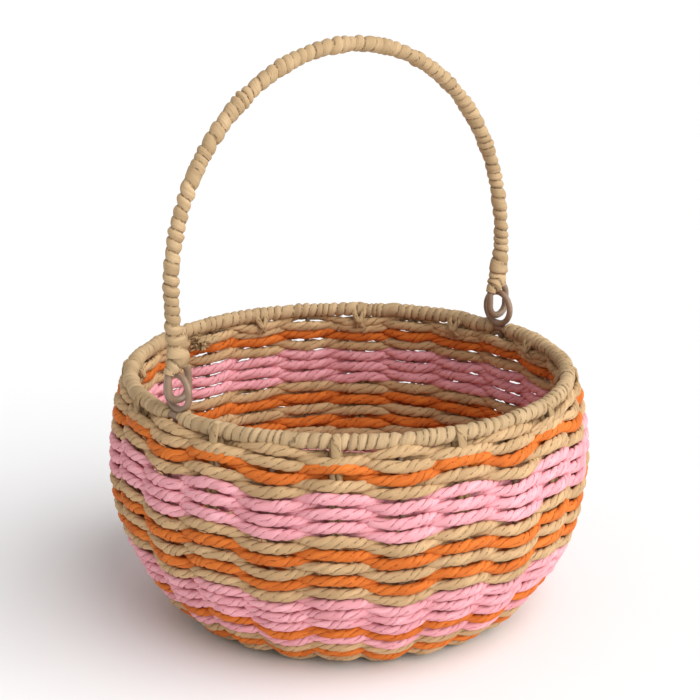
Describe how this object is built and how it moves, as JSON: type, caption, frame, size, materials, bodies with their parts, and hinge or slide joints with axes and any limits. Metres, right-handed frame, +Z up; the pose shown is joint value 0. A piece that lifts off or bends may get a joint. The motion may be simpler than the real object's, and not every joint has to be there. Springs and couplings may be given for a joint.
{
  "type": "easter basket",
  "caption": "Round woven basket of twisted paper cord in coloured stripes on a wire frame, with a paper-wrapped bail handle that swings.",
  "frame": {"origin": "centre of the footprint, on the floor", "axes": "+Z up; X runs through both handle eyes, so the handle swings about X; +Y is the way the handle falls at a negative angle"},
  "size_m": [0.2708, 0.2708, 0.3242],
  "materials": {
    "natural_paper": "matt twisted kraft paper cord and strip",
    "orange_cord": "matt twisted paper cord, dyed orange",
    "pink_cord": "matt twisted paper cord, dyed pink",
    "taupe_paint": "satin paint on steel wire"
  },
  "bodies": {
    "basket": {"rim_hoop": "taupe_paint", "rim_wrap": "natural_paper", "rim_eye_left": "taupe_paint", "rim_eye_right": "taupe_paint", "metal_rib_01": "taupe_paint", "metal_rib_02": "taupe_paint", "metal_rib_03": "taupe_paint", "metal_rib_04": "taupe_paint", "metal_rib_05": "taupe_paint", "metal_rib_06": "taupe_paint", "metal_rib_07": "taupe_paint", "metal_rib_08": "taupe_paint", "metal_rib_09": "taupe_paint", "metal_rib_10": "taupe_paint", "metal_rib_11": "taupe_paint", "metal_rib_12": "taupe_paint", "paper_stake_01": "natural_paper", "paper_stake_02": "natural_paper", "paper_stake_03": "natural_paper", "paper_stake_04": "natural_paper", "paper_stake_05": "natural_paper", "paper_stake_06": "natural_paper", "paper_stake_07": "natural_paper", "paper_stake_08": "natural_paper", "paper_stake_09": "natural_paper", "paper_stake_10": "natural_paper", "paper_stake_11": "natural_paper", "paper_stake_12": "natural_paper", "weave_01_natural": "natural_paper", "weave_02_orange": "orange_cord", "weave_03_natural": "natural_paper", "weave_04_pink": "pink_cord", "weave_05_pink": "pink_cord", "weave_06_pink": "pink_cord", "weave_07_natural": "natural_paper", "weave_08_orange": "orange_cord", "weave_09_natural": "natural_paper", "weave_10_orange": "orange_cord", "weave_11_natural": "natural_paper", "weave_12_pink": "pink_cord", "weave_13_pink": "pink_cord", "weave_14_pink": "pink_cord", "weave_15_orange": "orange_cord", "weave_16_pink": "pink_cord", "weave_17_natural": "natural_paper", "weave_18_orange": "orange_cord", "weave_19_natural": "natural_paper", "base_weave": "natural_paper", "base_hoop": "taupe_paint", "base_hub": "taupe_paint"},
    "handle": {"handle_wire": "taupe_paint", "handle_wrap": "natural_paper"}
  },
  "joints": [
    {"name": "handle_swing", "type": "hinge", "parent": "basket", "child": "handle", "pos_m": [0, 0, 0.1508], "axis": [1, 0, 0], "range_deg": [-96, 96]}
  ]
}
